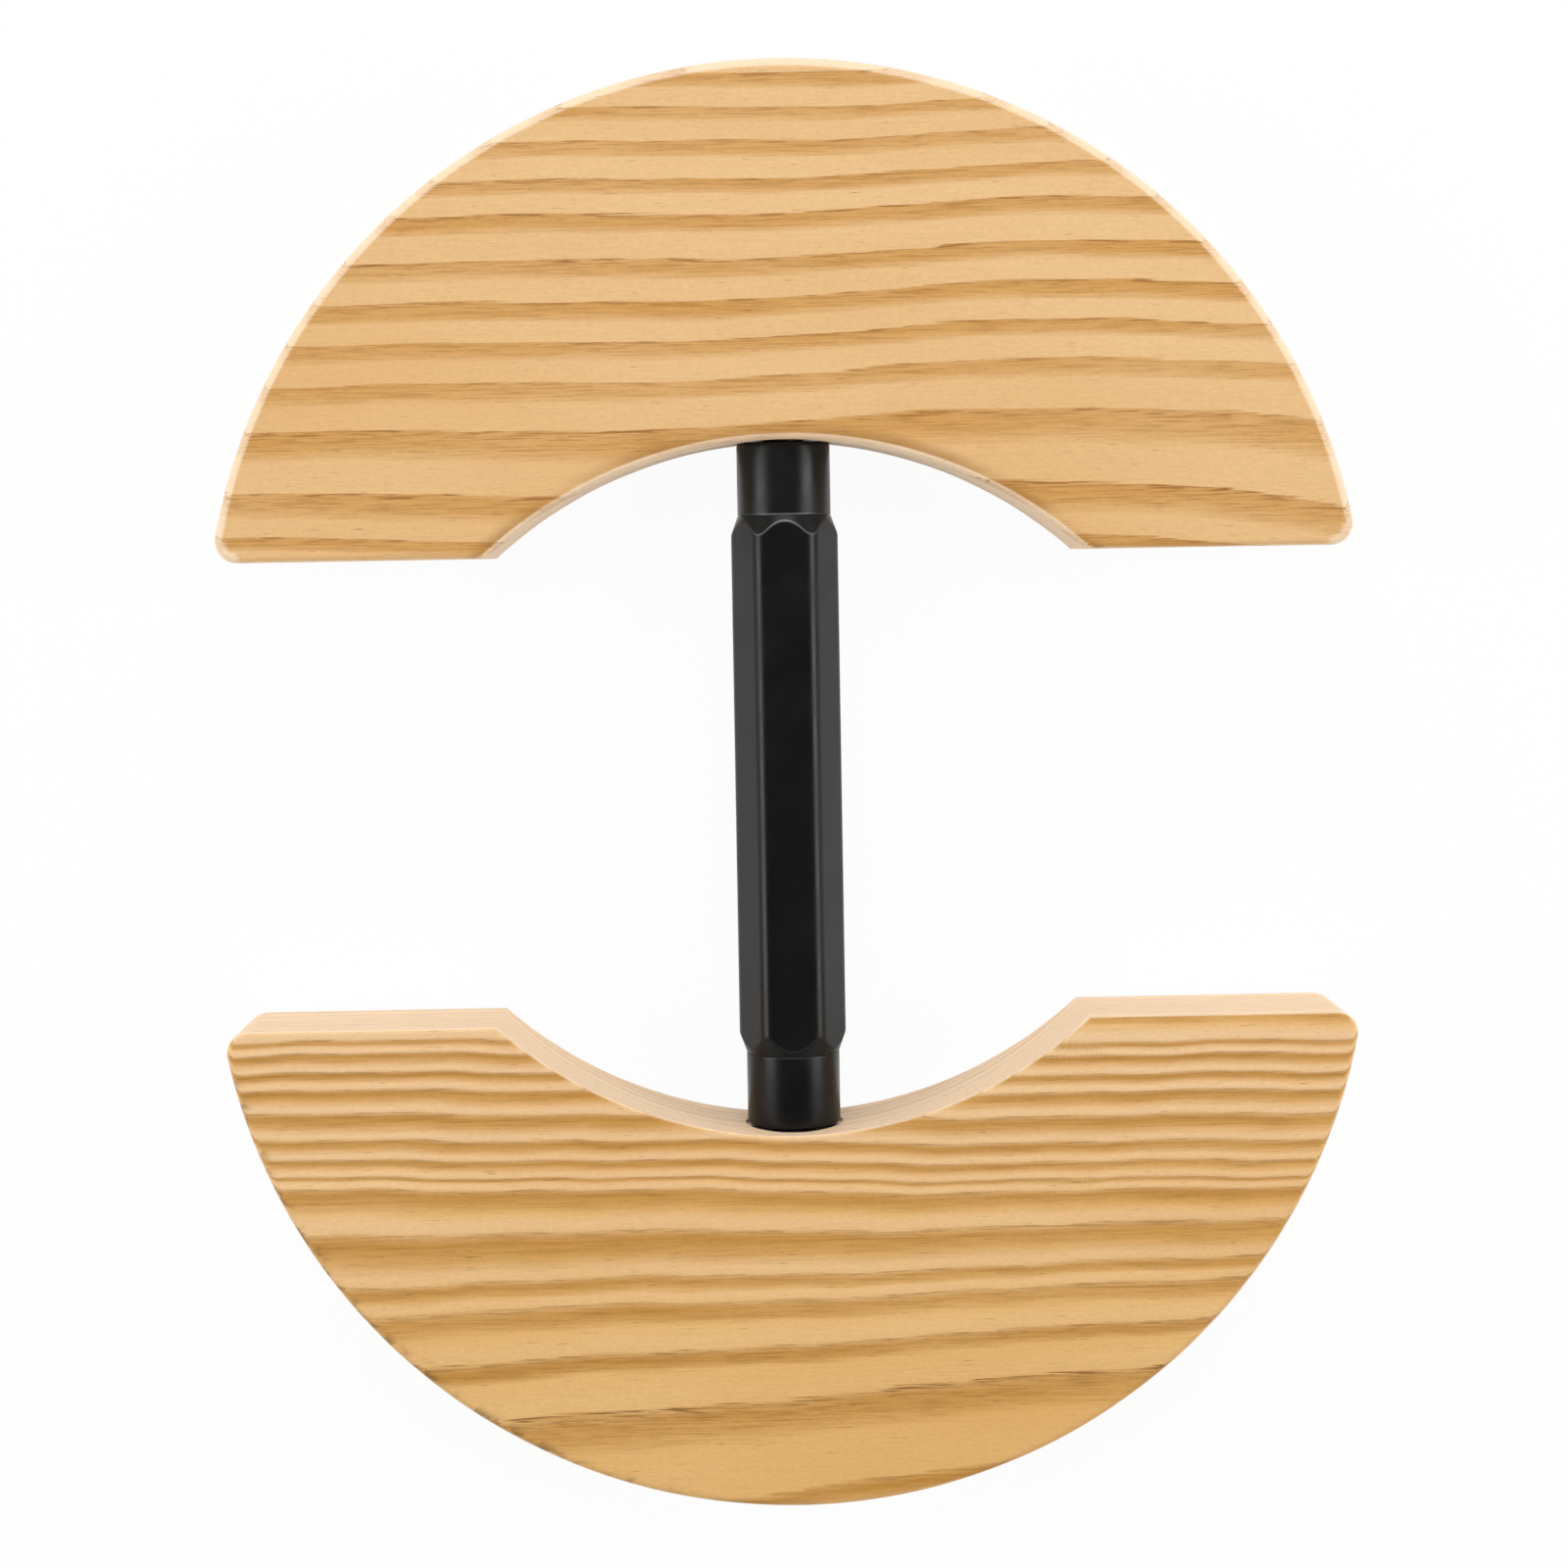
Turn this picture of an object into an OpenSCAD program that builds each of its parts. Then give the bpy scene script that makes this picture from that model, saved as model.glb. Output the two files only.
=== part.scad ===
// Hat stretcher: two rounded wooden halves pushed apart by a hexagon turnbuckle.
// The stretcher lies on its back: X across the halves, Y along the screw, Z up out of the board.
// The origin is on the table, under the middle of the barrel, with the screw closed.

/* [Wooden halves] */
// Radius of the curved rim that bears on the hat band
rim_radius = 76.4; // [70:0.1:84]
// Height of a half, from its flat ends to the top of its rim
block_height = 64.9; // [60:0.1:68]
// Thickness of the board that the halves are sawn from
board_thickness = 18; // [17:0.5:24]
// Radius of the saddle sawn out between the flat ends
saddle_radius = 58.5; // [50:0.1:64]
// Rise of the saddle's crown above the flat ends
saddle_rise = 15.1; // [11:0.1:17]
// Radius of the routed edges on both faces
edge_round = 2; // [1:0.1:2.6]
// Corner cut, measured along the flat end
corner_cut_flat = 4.6; // [3:0.1:6]
// Corner cut, measured up the rim
corner_cut_rim = 3.2; // [2:0.1:5]

/* [Barrel] */
// Width across the flats of the hexagon
hex_across_flats = 13; // [12.8:0.1:14]
// Diameter to which the hexagon's corners are turned
hex_corner_d = 14.8; // [14.2:0.1:14.9]
// Length of the hexagon with its end chamfers
hex_length = 72; // [66:0.5:80]
// Length of the chamfer at each end of the hexagon
hex_chamfer = 2.5; // [1.5:0.1:3.5]
// Diameter of the turned neck that carries each collar
neck_d = 10; // [9.6:0.1:10.4]

/* [Collars] */
// Outer diameter of the swivel collars
collar_d = 12.5; // [12.2:0.1:12.7]
// Length of each collar
collar_length = 9.6; // [8:0.1:11]
// Rounding of the collar's outer end
collar_edge = 0.6; // [0.3:0.1:0.8]

/* [Screw] */
// Major diameter of the studs
stud_d = 6; // [5:0.1:6.4]
// Length of each stud in its half, measured from the insert's face
stud_in_block = 18; // [16:0.5:26]

/* [Inserts] */
// Diameter of the insert's flange
flange_d = 12; // [11.6:0.1:12.4]
// Root diameter of the insert's coarse outer thread
insert_root_d = 9; // [8.6:0.1:9.6]
// Height of the coarse thread above its root
insert_thread_height = 0.7; // [0.4:0.1:0.9]
// Pitch of the coarse thread
insert_pitch = 2.6; // [2.2:0.1:3]

/* [Clearances] */
// Running clearance, radial, between the collar's bore and the neck
running_clearance = 0.05; // [0.02:0.01:0.1]
// Radial clearance of the stud's crests in the barrel and the insert
thread_clearance = 0.07; // [0.03:0.01:0.1]
// Open seam between a collar and the hexagon's shoulder
seam = 0.2; // [0.1:0.05:0.4]
// Gap between a collar's end and its seat with the screw closed
seat_gap = 0.3; // [0.2:0.05:0.6]

/* [Hidden] */
$fn = 96;

// Overshoot of cutting bodies past the surfaces that they cut
cut = 1;
// Height at which the routing bit stands proud of the board's face
edge_step = 0.1;
screw_z = board_thickness / 2;

// Barrel and collars, by distance from the barrel's middle along the screw
shoulder_y = hex_length / 2;
hex_face_y = shoulder_y - hex_chamfer;
collar_start_y = shoulder_y + seam;
collar_end_y = collar_start_y + collar_length;
collar_bore_r = neck_d / 2 + running_clearance;
bore_r = stud_d / 2 + thread_clearance;
hex_sides = 6;
// Middle of the collar's rounded end, an eighth of a turn round its arc
collar_edge_mid = collar_edge * (1 - cos(45));

// Snap ring in its groove, inside a recess in the collar's outer end
ring_thickness = 0.9;
ring_height = 0.45;
ring_groove_depth = 0.3;
ring_slack = 0.025;
ring_side_gap = 0.2;
ring_recess_clearance = 0.25;
ring_gap_w = 3.2;
ring_recess_depth = 2;
ring_y = collar_end_y - ring_recess_depth + ring_side_gap;
groove_r = neck_d / 2 - ring_groove_depth;
ring_r = neck_d / 2 + ring_height;
recess_r = ring_r + ring_recess_clearance;
neck_setback = 0.4;
neck_end_y = collar_end_y - neck_setback;
neck_edge = 0.3;

// Seat in the saddle: a shallow spot face with the insert's flange flush in its floor
seat_y = collar_end_y + seat_gap;
spot_depth = 0.1;
spot_clearance = 0.3;
spot_r = collar_d / 2 + spot_clearance;
flange_thickness = 1;
insert_length = 14;
insert_slack = 0.02;
insert_thread_turns = 4;
insert_lead_in = 1.2;
insert_thread_start = flange_thickness + insert_lead_in;
// Corners of a ridge of the coarse thread, as shares of its pitch
ridge_crest_from = 0.2;
ridge_crest_to = 0.3;
ridge_end = 0.5;

// Studs: their inner ends meet near the barrel's middle when the screw is closed
stud_end_gap = 3;
stud_start_y = stud_end_gap / 2;
stud_end_y = seat_y + stud_in_block;
stud_edge = 0.7;
stud_hole_clearance = 0.15;
stud_hole_r = stud_d / 2 + stud_hole_clearance;
stud_hole_spare = 1.5;

// Outline of a half
crown_y = seat_y - spot_depth;
flat_y = crown_y - saddle_rise;
saddle_y = crown_y - saddle_radius;
rim_y = flat_y + block_height - rim_radius;
flat_half_w = half_chord(rim_radius, flat_y - rim_y);
corner_y = flat_y + corner_cut_rim;
corner_rim_x = half_chord(rim_radius, corner_y - rim_y);
corner_flat_x = flat_half_w - corner_cut_flat;
corner_angle = atan2(corner_cut_rim, corner_rim_x - corner_flat_x);
// Reach of the sawing bodies past the outline on every side
saw_reach = 2 * rim_radius;
corner_reach = 4 * corner_cut_flat;

pine = [0.89, 0.70, 0.45];
black = [0.10, 0.10, 0.10];
zinc = [0.72, 0.73, 0.75];
spring_steel = [0.30, 0.30, 0.32];

function half_chord(radius, offset) = sqrt(radius * radius - offset * offset);

// Turns a body built along Z into one built along the screw
module on_screw() {
    translate([0, 0, screw_z])
        rotate([-90, 0, 0])
            children();
}

// Section that the routing bit takes off a corner at the origin, inward along +X and +Y
module routed_edge_section() {
    difference() {
        translate([-cut, -cut])
            square([cut + edge_round, cut + edge_round - edge_step]);
        translate([edge_round, edge_round - edge_step])
            circle(edge_round);
    }
}

// Routed edges of a wall at x = 0, at both faces of the board
module routed_edges() {
    for (face = [0, 1])
        translate([0, face * board_thickness])
            mirror([0, face])
                routed_edge_section();
}

// Section of a cut: everything left of the line x = 0, with its edges routed
module routed_cut_section(depth) {
    translate([-depth, -cut])
        square([depth, board_thickness + 2 * cut]);
    routed_edges();
}

// The straight routed cut that leaves the flat ends
module flat_cut() {
    translate([-saw_reach, flat_y, 0])
        rotate([90, 0, 90])
            linear_extrude(2 * saw_reach)
                routed_cut_section(saw_reach);
}

// The full disc of the rim with both edges routed
module rim_disc() {
    translate([0, rim_y, 0])
        rotate_extrude()
            difference() {
                square([rim_radius, board_thickness]);
                translate([rim_radius, 0])
                    mirror([1, 0])
                        routed_edges();
            }
}

// The round saddle cut
module saddle_cut() {
    translate([0, saddle_y, 0])
        rotate_extrude()
            intersection() {
                translate([saddle_radius, 0])
                    routed_cut_section(saddle_radius);
                translate([0, -cut])
                    square([saddle_radius + edge_round, board_thickness + 2 * cut]);
            }
}

// The square cut that takes the sharp point off the outer end of a flat
module corner_cut() {
    translate([corner_flat_x, flat_y, -cut])
        rotate([0, 0, corner_angle])
            translate([-corner_reach, -corner_reach, 0])
                cube([2 * corner_reach, corner_reach, board_thickness + 2 * cut]);
}

// Outline of the insert's outside from its face inward, grown by a slack
function insert_outside(slack) = [
    [flange_d / 2 + slack, 0],
    [flange_d / 2 + slack, flange_thickness + slack],
    [insert_root_d / 2 + slack, flange_thickness + slack],
    for (turn = [0 : insert_thread_turns - 1])
        let (z = insert_thread_start + turn * insert_pitch)
            each insert_ridge(z, slack),
    [insert_root_d / 2 + slack, insert_length + slack]
];

// One ridge of the coarse thread
function insert_ridge(z, slack) = [
    [insert_root_d / 2 + slack, z - slack],
    [insert_root_d / 2 + insert_thread_height + slack, z + insert_pitch * ridge_crest_from - slack],
    [insert_root_d / 2 + insert_thread_height + slack, z + insert_pitch * ridge_crest_to + slack],
    [insert_root_d / 2 + slack, z + insert_pitch * ridge_end + slack]
];

// Spot face, insert seat and stud hole bored into the saddle's crown
module screw_pocket() {
    on_screw() {
        translate([0, 0, seat_y - saddle_rise])
            cylinder(r = spot_r, h = saddle_rise);
        translate([0, 0, seat_y])
            rotate_extrude()
                polygon(concat(
                    [[0, -cut], [flange_d / 2 + insert_slack, -cut]],
                    insert_outside(insert_slack),
                    [[0, insert_length + insert_slack]]
                ));
        translate([0, 0, seat_y])
            cylinder(r = stud_hole_r, h = stud_in_block + stud_hole_spare);
    }
}

// A half as it sits on the +Y side of the barrel
module half_block() {
    difference() {
        rim_disc();
        flat_cut();
        saddle_cut();
        corner_cut();
        mirror([1, 0, 0])
            corner_cut();
        screw_pocket();
    }
}

// Swivel collar on the +Y neck, with a recess for the snap ring in its outer end
module collar() {
    on_screw()
        rotate_extrude()
            polygon([
                [collar_bore_r, collar_start_y],
                [collar_d / 2 - seam, collar_start_y],
                [collar_d / 2, collar_start_y + seam],
                [collar_d / 2, collar_end_y - collar_edge],
                [collar_d / 2 - collar_edge_mid, collar_end_y - collar_edge_mid],
                [recess_r, collar_end_y],
                [recess_r, collar_end_y - ring_recess_depth],
                [collar_bore_r, collar_end_y - ring_recess_depth]
            ]);
}

// Split ring in the neck's groove on the +Y side
module snap_ring() {
    on_screw()
        translate([0, 0, ring_y])
            difference() {
                cylinder(r = ring_r, h = ring_thickness);
                translate([0, 0, -cut])
                    cylinder(r = groove_r + ring_slack, h = ring_thickness + 2 * cut);
                translate([-ring_gap_w / 2, 0, -cut])
                    cube([ring_gap_w, ring_r + cut, ring_thickness + 2 * cut]);
            }
}

// Turned neck on the +Y end of the barrel, with the snap ring's groove
module neck() {
    rotate_extrude()
        polygon([
            [0, hex_face_y],
            [neck_d / 2, hex_face_y],
            [neck_d / 2, ring_y - ring_slack],
            [groove_r, ring_y - ring_slack],
            [groove_r, ring_y + ring_thickness + ring_slack],
            [neck_d / 2, ring_y + ring_thickness + ring_slack],
            [neck_d / 2, neck_end_y - neck_edge],
            [neck_d / 2 - neck_edge, neck_end_y],
            [0, neck_end_y]
        ]);
}

// Envelope to which the hexagon bar is turned: corners broken, ends chamfered
module hex_envelope() {
    rotate_extrude()
        polygon([
            [0, -shoulder_y],
            [collar_d / 2, -shoulder_y],
            [hex_corner_d / 2, -hex_face_y],
            [hex_corner_d / 2, hex_face_y],
            [collar_d / 2, shoulder_y],
            [0, shoulder_y]
        ]);
}

// Threaded stud that stands out of the +Y half into the barrel
module stud() {
    on_screw()
        rotate_extrude()
            polygon([
                [0, stud_start_y],
                [stud_d / 2 - stud_edge, stud_start_y],
                [stud_d / 2, stud_start_y + stud_edge],
                [stud_d / 2, stud_end_y - stud_edge],
                [stud_d / 2 - stud_edge, stud_end_y],
                [0, stud_end_y]
            ]);
}

// Screw-in insert that anchors the stud in the +Y half
module insert() {
    on_screw()
        translate([0, 0, seat_y])
            rotate_extrude()
                polygon(concat([[bore_r, 0]], insert_outside(0), [[bore_r, insert_length]]));
}

module upper_block() {
    color(pine)
        half_block();
}

module lower_block() {
    color(pine)
        mirror([0, 1, 0])
            half_block();
}

module hex_barrel() {
    color(black)
        on_screw()
            difference() {
                union() {
                    intersection() {
                        cylinder(
                            d = hex_across_flats / cos(180 / hex_sides),
                            h = hex_length,
                            center = true,
                            $fn = hex_sides
                        );
                        hex_envelope();
                    }
                    neck();
                    mirror([0, 0, 1])
                        neck();
                }
                cylinder(r = bore_r, h = 2 * (neck_end_y + cut), center = true);
            }
}

module upper_collar() {
    color(black)
        collar();
}

module lower_collar() {
    color(black)
        mirror([0, 1, 0])
            collar();
}

module upper_snap_ring() {
    color(spring_steel)
        snap_ring();
}

module lower_snap_ring() {
    color(spring_steel)
        mirror([0, 1, 0])
            snap_ring();
}

module upper_stud() {
    color(zinc)
        stud();
}

module lower_stud() {
    color(zinc)
        mirror([0, 1, 0])
            stud();
}

module upper_insert() {
    color(zinc)
        insert();
}

module lower_insert() {
    color(zinc)
        mirror([0, 1, 0])
            insert();
}

upper_block();
lower_block();
hex_barrel();
upper_collar();
lower_collar();
upper_snap_ring();
lower_snap_ring();
upper_stud();
lower_stud();
upper_insert();
lower_insert();
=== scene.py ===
"""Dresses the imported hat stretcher: two brushed pine halves on a black hexagon turnbuckle."""
import logging
from dataclasses import dataclass, field
from enum import Enum
from math import acos, atan2, cos, pi, radians, sin, sqrt
from typing import Any, Sequence

import bpy
import numpy as np
from mathutils import Matrix, Vector


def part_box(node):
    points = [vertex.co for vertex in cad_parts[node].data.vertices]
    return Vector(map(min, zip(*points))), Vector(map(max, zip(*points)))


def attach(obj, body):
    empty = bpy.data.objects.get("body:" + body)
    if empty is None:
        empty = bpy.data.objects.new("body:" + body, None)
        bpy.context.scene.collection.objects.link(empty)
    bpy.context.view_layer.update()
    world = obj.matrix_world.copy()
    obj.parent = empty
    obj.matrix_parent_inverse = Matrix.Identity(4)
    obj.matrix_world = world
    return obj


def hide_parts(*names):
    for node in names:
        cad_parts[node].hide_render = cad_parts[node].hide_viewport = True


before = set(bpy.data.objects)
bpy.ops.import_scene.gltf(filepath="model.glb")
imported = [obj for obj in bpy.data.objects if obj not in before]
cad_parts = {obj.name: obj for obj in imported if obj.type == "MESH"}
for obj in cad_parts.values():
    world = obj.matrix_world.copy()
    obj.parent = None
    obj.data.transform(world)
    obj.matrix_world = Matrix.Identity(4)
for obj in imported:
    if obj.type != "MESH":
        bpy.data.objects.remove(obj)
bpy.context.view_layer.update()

LOG = logging.getLogger("hat_stretcher")

# Sizes are in millimetres, and meshes are scaled to metres as they are made
MM = 0.001
# Height of the screw's axis above the table: the middle of the board
SCREW_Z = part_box("upper_block")[1].z / MM / 2
# Lowest and highest value that noise mostly reaches
NOISE_RANGE = (0.3, 0.7)
# Flips a point of the plane left to right
MIRROR = (-1, 1)
# Short names for types; a row of a turned piece is its place along the screw, radius and painted edge
# highlight
Array = np.ndarray
Piece = bpy.types.Object
Tree = bpy.types.NodeTree
Pairs = Sequence[tuple[float, float]]
Row = tuple[float, Array | float, Array]


class Side(Enum):
    """Which way a piece lies along the screw from the barrel's middle."""

    UPPER = 1
    LOWER = -1

    @property
    def word(self) -> str:
        """The side's word in the names of nodes and bodies."""
        return self.name.lower()


class Hand(Enum):
    """Hand of a screw thread."""

    RIGHT = 1
    LEFT = -1


def linear(colour: str) -> tuple[float, float, float, float]:
    """Turns an sRGB hex colour into linear RGBA.

    Args:
        colour: Hex colour such as "#E6BC7F".

    Returns:
        Linear red, green and blue with an alpha of 1.
    """
    parts = [int(colour[i : i + 2], 16) / 255 for i in (1, 3, 5)]
    red, green, blue = (p / 12.92 if p <= 0.04045 else ((p + 0.055) / 1.055) ** 2.4 for p in parts)
    return red, green, blue, 1.0


def per_mm(*lengths: float) -> tuple[float, ...]:
    """Turns pattern lengths in millimetres into texture scales per metre."""
    return tuple(1 / (length * MM) for length in lengths)


def add(tree: Tree, kind: str, inputs: dict[Any, Any] | None = None, **settings: Any) -> bpy.types.Node:
    """Adds a node with its settings, input values and links.

    Args:
        tree: Node tree that gets the node.
        kind: Blender's name for the node.
        inputs: Value or source for each input, by its name or number. A source is a socket, a node
            or a node's name, which give their first output, or "name.output".
        **settings: Properties of the node; "stops" fills a colour ramp with (place, colour or grey) pairs.

    Returns:
        The new node.
    """
    made = tree.nodes.new(kind)
    stops = settings.pop("stops", ())
    for name, value in settings.items():
        setattr(made, name, value)
    for name, value in (inputs or {}).items():
        if isinstance(value, str):
            source, _, output = value.partition(".")
            value = tree.nodes[source].outputs[output or 0]
        elif isinstance(value, bpy.types.Node):
            value = next(socket for socket in value.outputs if socket.enabled)
        if isinstance(value, bpy.types.NodeSocket):
            tree.links.new(value, made.inputs[name])
        else:
            made.inputs[name].default_value = value
    for number, (place, colour) in enumerate(stops):
        ramp = made.color_ramp.elements
        stop = ramp[number] if number < 2 else ramp.new(place)
        stop.position = place
        stop.color = colour if isinstance(colour, tuple) else (colour, colour, colour, 1.0)
    return made


def new_tree(name: str) -> tuple[bpy.types.Material, Tree]:
    """Makes an empty node material.

    Args:
        name: Name of the material.

    Returns:
        The material and its cleared node tree.
    """
    material = bpy.data.materials.new(name)
    material.use_nodes = True
    material.node_tree.nodes.clear()
    return material, material.node_tree


def smoothstep(low: float, high: float, value: Array) -> Array:
    """Eases from 0 at low to 1 at high."""
    t = np.clip((value - low) / (high - low), 0, 1)
    return t * t * (3 - 2 * t)


def full_turn(sides: int) -> Array:
    """Gives evenly spaced angles round the screw, in radians."""
    return np.linspace(0, 2 * pi, sides, endpoint=False)


def around_screw(along: Array, radius: Array, turn: Array) -> Array:
    """Places points by millimetres along the screw and out from its axis, and by radians from straight up."""
    across, height = radius * np.sin(turn), SCREW_Z + radius * np.cos(turn)
    return np.stack(np.broadcast_arrays(across, along, height), axis=-1)


def strip_quads(first: Array, second: Array) -> list[list[int]]:
    """Joins two closed loops of vertex numbers, both in the same order, with a strip of quads."""
    return np.stack([first, np.roll(first, -1), np.roll(second, -1), second], axis=1).tolist()


def tube_faces(rings: Array, side: Side) -> list[list[int]]:
    """Joins rings of vertices into a closed tube that faces outwards.

    Args:
        rings: Vertex numbers by ring, from the barrel's middle out, and by place round the screw.
        side: Side of the barrel's middle that the tube lies on.

    Returns:
        Faces as lists of vertex numbers.
    """
    faces = [face for pair in zip(rings, rings[1:]) for face in strip_quads(*pair)]
    faces += [rings[0][::-1].tolist(), rings[-1].tolist()]
    return faces if side is Side.UPPER else [face[::-1] for face in faces]


def shade(mesh: bpy.types.Mesh, crease_deg: float) -> None:
    """Shades a mesh smooth, apart from edges over an angle."""
    mesh.shade_smooth()
    mesh.set_sharp_from_angle(angle=radians(crease_deg))


def store(mesh: bpy.types.Mesh, name: str, values: Array) -> None:
    """Stores a number for each vertex, which a material reads by its name."""
    mesh.attributes.new(name, "FLOAT", "POINT").data.foreach_set("value", values.astype(np.float32))


def new_piece(name: str, points: Array, faces: Sequence[Sequence[int]], crease_deg: float = 30.0) -> Piece:
    """Makes a smooth-shaded mesh piece from points in millimetres.

    Args:
        name: Name of the piece.
        points: Vertex places in millimetres, in the part's frame.
        faces: Faces as lists of vertex numbers.
        crease_deg: Angle over which an edge stays sharp.

    Returns:
        The new object, linked to the scene.
    """
    mesh = bpy.data.meshes.new(name)
    mesh.from_pydata((points * MM).tolist(), [], faces)
    mesh.validate()
    shade(mesh, crease_deg)
    piece = bpy.data.objects.new(name, mesh)
    bpy.context.scene.collection.objects.link(piece)
    return piece


def tie(piece: Piece, material: bpy.types.Material, node: str, body: str) -> None:
    """Gives a piece its material and ties it to the frame.

    Args:
        piece: The piece's object.
        material: Its only material.
        node: CAD node that it stands for.
        body: Body that it rides on.
    """
    piece.data.materials.clear()
    piece.data.materials.append(material)
    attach(piece, body)
    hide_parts(node)


@dataclass(frozen=True)
class Ring:
    """One year's growth ring: its width, its share of latewood, and the strength of that and of its lines."""

    width: float
    band: float
    late: float = 1.0
    line: float = 1.0


@dataclass(frozen=True)
class BrushedPine:
    """Southern pine, planed, wire-brushed and left bare.

    Pale earlywood fades into amber latewood in each year's ring, which stops at a crisp edge.
    Brushing leaves fine fibre streaks and a dull satin. Sanded walls and edges are cream.
    """

    early: str
    early_warm: str
    late: str
    streak: str
    line: str
    # Shares of latewood, of dark lines and of streaks from a ring's crisp edge to its latewood's end
    latewood: Pairs
    line_share: float
    lines: Pairs = ((0.0, 0.0), (1.0, 0.05), (0.03, 1.0), (0.12, 0.7), (0.25, 0.4), (0.6, 0.3))
    streak_room: Pairs = ((0.0, 0.08), (1.0, 0.08), (0.06, 0.6), (0.6, 0.5))
    canal: str = "#80531C"
    sanded: str = "#FCE3C4"
    # Painted shade on the face along the saddle's edge, standing in for the face curving away from the light
    burnish: str = "#96662A"
    nick: str = "#6B481F"
    # Latewood takes less of the sander's cream, so the rings still show on the walls
    late_cream: float = 0.84
    ior: float = 1.5
    # Loose fibres scatter most of the mirror shine that the IOR alone would give
    shine: float = 0.25
    bump: float = 0.4
    fibre_depth: float = 0.04
    # Length along the grain, width across it and levels of detail of each pattern. Real fibres, canals
    # and flecks are under 0.1 mm wide, and are drawn coarser so as to show
    patterns: dict[str, tuple[float, float, float]] = field(
        default_factory=lambda: {
            "fibre": (22.0, 0.4, 3.0),
            "streak": (11.0, 0.24, 4.0),
            "dash": (5.0, 0.28, 2.0),
            "canal": (3.0, 0.2, 2.0),
            "drift": (55.0, 7.0, 2.0),
            "blotch": (90.0, 30.0, 2.0),
            "fleck": (0.8, 0.32, 2.0),
            "nick": (2.4, 1.6, 3.0),
        }
    )

    def draw_patterns(self, tree: Tree, shift: float) -> None:
        """Draws the patterns and stretches them to the shares of colour that they mix in.

        Args:
            tree: The material's node tree.
            shift: Shift of the patterns, in their own lengths, so that two boards differ.
        """
        place = add(tree, "ShaderNodeTexCoord").outputs["Object"]
        for key, (length, width, detail) in self.patterns.items():
            inputs = {"Vector": place, "Location": (shift,) * 3, "Scale": per_mm(length, width, width)}
            spread = add(tree, "ShaderNodeMapping", inputs)
            add(tree, "ShaderNodeTexNoise", {"Vector": spread, "Scale": 1.0, "Detail": detail}, name=key)
        # The stored values include the share of painted shade by the saddle
        for key in ("ring", "sanded", "burnish", "chipped"):
            add(tree, "ShaderNodeAttribute", name=key, attribute_name=key)
        # Each row ends with the range that is read and the range that it becomes
        for key, *terms in (
            ("fray", "fibre", *NOISE_RANGE, -0.04, 0.04),
            ("strength", "drift", 0.35, 0.65, 0.6, 1.0),
            ("warmth", "blotch", 0.35, 0.65, 0.0, 1.0),
            ("patchy", "drift", 0.4, 0.62, 0.15, 1.0),
            ("streaks", "streak", 0.48, 0.72, 0.0, 1.0),
            ("dashes", "dash", 0.5, 0.61, 0.15 * self.line_share, self.line_share),
            ("canals", "canal", 0.67, 0.77, 0.0, 0.6),
            ("shade", "fleck", *NOISE_RANGE, 1.04, 0.96),
            ("pale", "sanded.Fac", 0.0, 1.0, 0.0, 0.78),
            ("unsanded", "sanded.Fac", 0.0, 1.0, 1.0, 0.8),
            ("torn", "nick", 0.5, 0.6, 0.0, 0.7),
            ("gloss", "fibre", *NOISE_RANGE, 0.5, 0.64),
        ):
            add(tree, "ShaderNodeMapRange", dict(enumerate(terms)), name=key)

    def mix_colour(self, tree: Tree, rings: Sequence[Ring]) -> bpy.types.Node:
        """Finds the place within the year's ring, and mixes the colours by the shares that it gives.

        Args:
            tree: The material's node tree.
            rings: The board's growth rings, whose own strengths the ramps follow.

        Returns:
            The node that gives the wood's colour.
        """
        for key, operation, *terms in (
            ("frayed", "ADD", "ring.Fac", "fray"),
            ("year", "FRACT", "frayed"),
            ("round", "DIVIDE", "frayed", len(rings)),
            ("board", "FRACT", "round"),
        ):
            add(tree, "ShaderNodeMath", dict(enumerate(terms)), name=key, operation=operation)
        for key in ("band", "late", "line"):
            stops = [(number / len(rings), getattr(ring, key)) for number, ring in enumerate(rings)]
            add(tree, "ShaderNodeValToRGB", {"Fac": "board"}, name=key, stops=stops)
        # How far past the crisp edge, as a share of the ring's latewood
        add(tree, "ShaderNodeMath", {0: "year", 1: "band"}, name="depth", operation="DIVIDE")
        for key in ("latewood", "lines", "streak_room"):
            add(tree, "ShaderNodeValToRGB", {"Fac": "depth"}, name=key, stops=getattr(self, key))
        inputs = {"Value": "latewood", "To Min": 1.0, "To Max": self.late_cream}
        add(tree, "ShaderNodeMapRange", inputs, name="cream")
        for key, *terms in (
            ("paling", "pale", "cream"),
            ("drifting", "latewood", "strength"),
            ("lateness", "drifting", "late"),
            ("streaking", "streak_room", "streaks"),
            ("dashed", "lines", "dashes"),
            ("darkened", "dashed", "line"),
            ("lining", "darkened", "unsanded"),
            # Painted shade by the saddle, patchy along its length
            ("painted_saddle_shading", "burnish.Fac", "patchy"),
            ("nicks", "chipped.Fac", "torn"),
        ):
            add(tree, "ShaderNodeMath", dict(enumerate(terms)), name=key, operation="MULTIPLY")
        wood = linear(self.early)
        for share, colour in (
            ("warmth", self.early_warm),
            ("lateness", self.late),
            ("streaking", self.streak),
            # Mixes in the painted shade by the saddle
            ("painted_saddle_shading", self.burnish),
            ("paling", self.sanded),
            ("lining", self.line),
            ("canals", self.canal),
            ("nicks", self.nick),
        ):
            inputs = {"Factor": share, "A": wood, "B": linear(colour)}
            wood = add(tree, "ShaderNodeMix", inputs, data_type="RGBA")
        inputs = {"Factor": 1.0, "A": wood, "B": "shade"}
        return add(tree, "ShaderNodeMix", inputs, data_type="RGBA", blend_type="MULTIPLY")

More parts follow.
